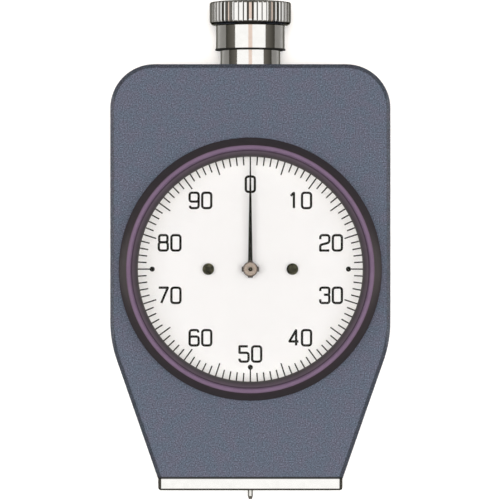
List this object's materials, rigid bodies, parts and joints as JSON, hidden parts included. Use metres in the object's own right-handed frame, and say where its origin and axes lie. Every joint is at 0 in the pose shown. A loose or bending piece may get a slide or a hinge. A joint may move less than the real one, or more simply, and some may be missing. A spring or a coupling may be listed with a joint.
{
  "type": "dial durometer",
  "caption": "Hand-held dial hardness gauge: a tapered painted case with a round one-turn dial, a knurled knob on top, a flat steel foot and a sprung indenter that drives the pointer.",
  "frame": {"origin": "where the dial axis meets the flat back, with the gauge lying on its back", "axes": "+Z out of the dial, +Y towards the knob, away from the foot, +X to the right of the dial"},
  "size_m": [0.0666, 0.1199, 0.0295],
  "materials": {
    "hammer_paint": "hammered grey-blue paint",
    "black_anodised": "black anodised, satin, with a violet cast",
    "crystal": "clear acrylic",
    "dial_white": "matt white print on aluminium",
    "print_black": "printed black ink",
    "black_steel": "blackened",
    "chrome": "bright chrome on steel",
    "steel": "ground",
    "spring_steel": "drawn wire",
    "blue_steel": "blued strip",
    "brass": "turned and milled",
    "hub_nickel": "nickel plated",
    "washer_black": "pressed fibre"
  },
  "bodies": {
    "gauge": {"case": "hammer_paint", "rear_cover": "hammer_paint", "rear_cover_screws": "black_steel", "bezel": "black_anodised", "crystal": "crystal", "crystal_ring": "dial_white", "dial_plate": "dial_white", "dial_graduations": "print_black", "dial_posts": "brass", "dial_screws": "black_steel", "front_plate": "brass", "front_plate_screws": "steel", "centre_bridge": "brass", "centre_pillars": "brass", "rear_bridge": "brass", "rear_pillars": "brass", "bridge_screws": "steel", "lower_bush": "brass", "upper_bush": "brass", "stem": "chrome", "load_adjuster": "steel", "load_spring": "spring_steel", "foot": "chrome", "foot_screws": "steel", "hairspring": "blue_steel", "hairspring_stud": "brass"},
    "spindle": {"spindle": "steel", "indenter": "steel", "guide_pin": "steel", "spring_collar": "brass"},
    "drive_wheel": {"drive_arbor": "steel", "drive_gear": "brass"},
    "pointer": {"centre_arbor": "black_steel", "pointer": "print_black", "pointer_hub": "hub_nickel"},
    "take_up_wheel": {"take_up_arbor": "steel", "take_up_gear": "brass", "hairspring_collet": "brass"},
    "knob_washer": {"knob_washer": "washer_black"},
    "knob": {"knob": "chrome"}
  },
  "joints": [
    {"name": "indenter_slide", "type": "slide", "parent": "gauge", "child": "spindle", "axis": [0, 1, 0], "range_m": [0, 0.00254], "stiffness_N_per_m": 3089, "springref_m": -0.00017, "deforming": ["load_spring"]},
    {"name": "drive_wheel_spin", "type": "hinge", "parent": "gauge", "child": "drive_wheel", "pos_m": [-0.00312, -0.00737, 0.017], "axis": [0, 0, 1], "range_deg": [0, 90]},
    {"name": "pointer_spin", "type": "hinge", "parent": "gauge", "child": "pointer", "pos_m": [0, 0, 0.02], "axis": [0, 0, 1], "range_deg": [-360, 0]},
    {"name": "take_up_spin", "type": "hinge", "parent": "gauge", "child": "take_up_wheel", "pos_m": [0.00566, 0.00566, 0.017], "axis": [0, 0, 1], "range_deg": [0, 90], "deforming": ["hairspring"]},
    {"name": "knob_lift", "type": "slide", "parent": "gauge", "child": "knob_washer", "axis": [0, 1, 0], "range_m": [0, 0.004]},
    {"name": "knob_turn", "type": "hinge", "parent": "knob_washer", "child": "knob", "pos_m": [0, 0.0555, 0.012], "axis": [0, 1, 0], "range_deg": [0, 1440]}
  ],
  "couplings": [
    {"joint": "drive_wheel_spin", "follows": "indenter_slide", "rad_per_m": 618.42},
    {"joint": "pointer_spin", "follows": "indenter_slide", "rad_per_m": -2473.7},
    {"joint": "take_up_spin", "follows": "indenter_slide", "rad_per_m": 618.42},
    {"joint": "knob_lift", "follows": "knob_turn", "m_per_rad": 0.00015915}
  ]
}
